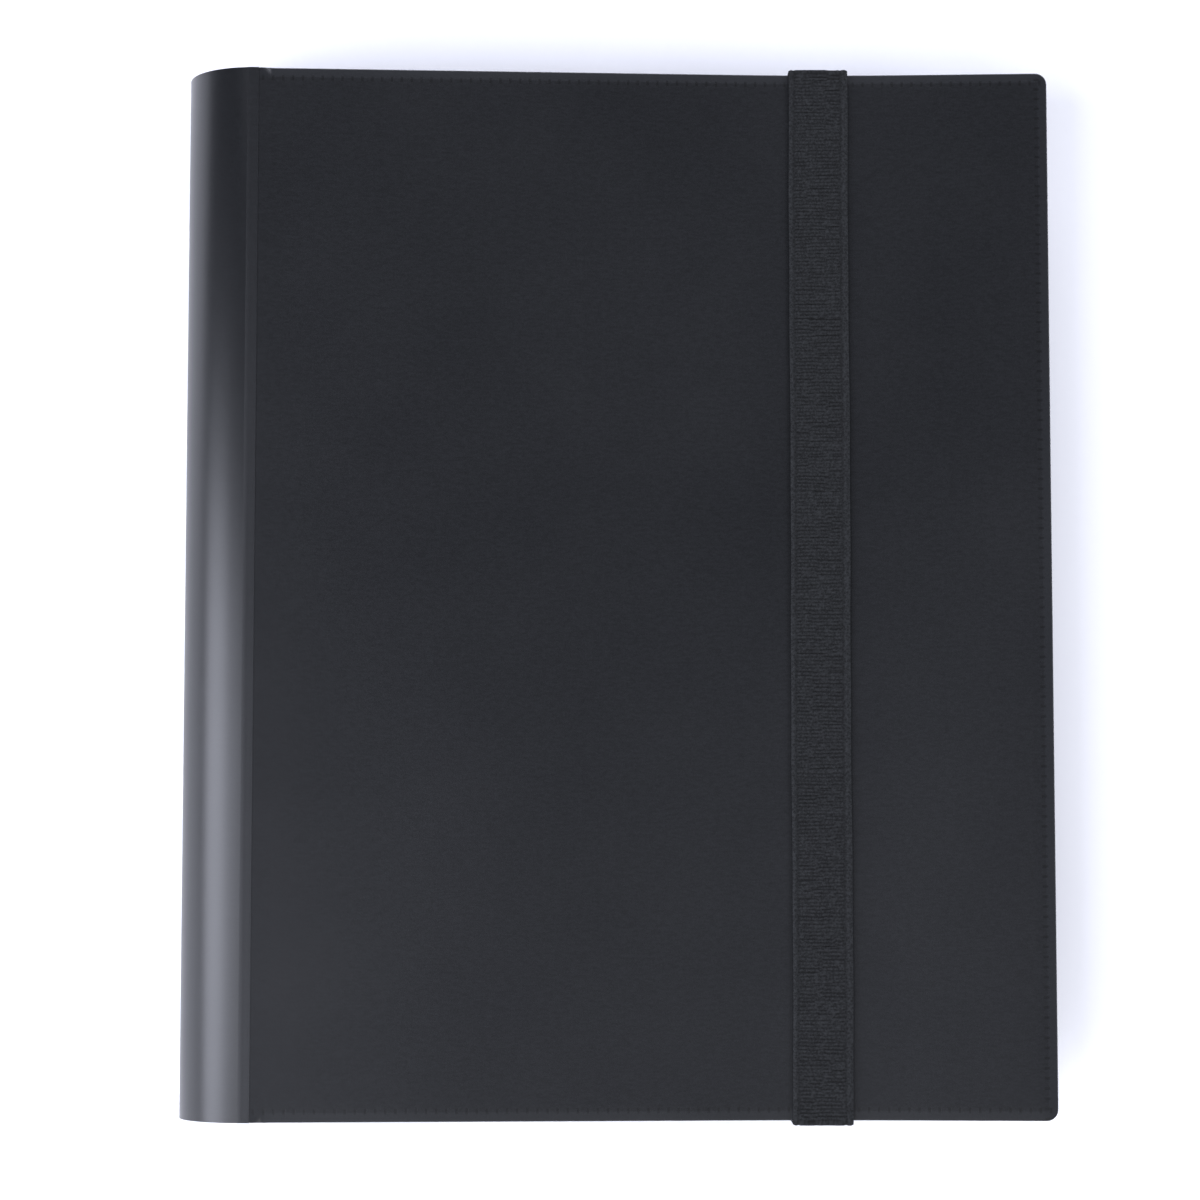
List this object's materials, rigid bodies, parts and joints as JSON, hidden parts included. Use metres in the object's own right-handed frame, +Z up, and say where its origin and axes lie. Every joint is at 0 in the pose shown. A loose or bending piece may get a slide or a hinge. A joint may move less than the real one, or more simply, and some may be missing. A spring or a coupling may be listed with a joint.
{
  "type": "ring binder",
  "caption": "A4 ring binder with a half-round spine, welded covers, D rings on the back cover and an elastic strap over the front; it opens flat and its rings open with levers.",
  "frame": {"origin": "under the middle of the closed binder, on the surface that its back cover lies on", "axes": "+X from the spine to the fore edge, +Y from the foot to the head, +Z up from the back cover to the front cover"},
  "size_m": [0.264, 0.3208, 0.0429],
  "materials": {
    "cover_plastic": "matte",
    "greyboard": "matte",
    "elastic": "matte",
    "nickel_steel": "polished"
  },
  "bodies": {
    "back_cover": {"back_outer_sheet": "cover_plastic", "back_board": "greyboard", "back_liner": "cover_plastic", "back_crease": "cover_plastic", "strap_tail_head": "elastic", "strap_tail_foot": "elastic", "strap_plate_head": "nickel_steel", "strap_plate_foot": "nickel_steel", "ring_housing": "nickel_steel", "head_lever_pin": "nickel_steel", "foot_lever_pin": "nickel_steel", "head_rivet": "nickel_steel", "foot_rivet": "nickel_steel"},
    "spine": {"spine_outer_sheet": "cover_plastic", "spine_board": "greyboard", "spine_liner": "cover_plastic", "front_crease": "cover_plastic"},
    "front_cover": {"front_outer_sheet": "cover_plastic", "front_board": "greyboard", "front_liner": "cover_plastic"},
    "strap": {"elastic_strap": "elastic"},
    "left_rings": {"left_blade": "nickel_steel", "left_ring_1": "nickel_steel", "left_ring_2": "nickel_steel", "left_ring_3": "nickel_steel", "left_ring_4": "nickel_steel"},
    "right_rings": {"right_blade": "nickel_steel", "right_ring_1": "nickel_steel", "right_ring_2": "nickel_steel", "right_ring_3": "nickel_steel", "right_ring_4": "nickel_steel"},
    "head_lever": {"head_lever": "nickel_steel"},
    "foot_lever": {"foot_lever": "nickel_steel"}
  },
  "joints": [
    {"name": "spine_hinge", "type": "hinge", "parent": "back_cover", "child": "spine", "pos_m": [-0.1105, 0, 0.0017], "axis": [0, -1, 0], "range_deg": [0, 90]},
    {"name": "front_cover_hinge", "type": "hinge", "parent": "spine", "child": "front_cover", "pos_m": [-0.1105, 0, 0.0413], "axis": [0, -1, 0], "range_deg": [0, 90]},
    {"name": "strap_release", "type": "hinge", "parent": "back_cover", "child": "strap", "pos_m": [0.062, 0, 0.0017], "axis": [0, 1, 0], "range_deg": [0, 180], "deforming": ["elastic_strap"]},
    {"name": "left_ring_hinge", "type": "hinge", "parent": "back_cover", "child": "left_rings", "pos_m": [-0.0964, 0, 0.0072], "axis": [0, -1, 0], "range_deg": [0, 14]},
    {"name": "right_ring_hinge", "type": "hinge", "parent": "back_cover", "child": "right_rings", "pos_m": [-0.0716, 0, 0.0072], "axis": [0, 1, 0], "range_deg": [0, 14]},
    {"name": "head_lever_hinge", "type": "hinge", "parent": "back_cover", "child": "head_lever", "pos_m": [-0.084, 0.136, 0.0072], "axis": [-1, 0, 0], "range_deg": [0, 30]},
    {"name": "foot_lever_hinge", "type": "hinge", "parent": "back_cover", "child": "foot_lever", "pos_m": [-0.084, -0.136, 0.0072], "axis": [1, 0, 0], "range_deg": [0, 30]}
  ],
  "couplings": [
    {"joint": "front_cover_hinge", "follows": "spine_hinge", "ratio": 1},
    {"joint": "strap_release", "follows": "spine_hinge", "ratio": 2},
    {"joint": "right_ring_hinge", "follows": "left_ring_hinge", "ratio": 1},
    {"joint": "head_lever_hinge", "follows": "left_ring_hinge", "ratio": 2.1429},
    {"joint": "foot_lever_hinge", "follows": "left_ring_hinge", "ratio": 2.1429}
  ]
}
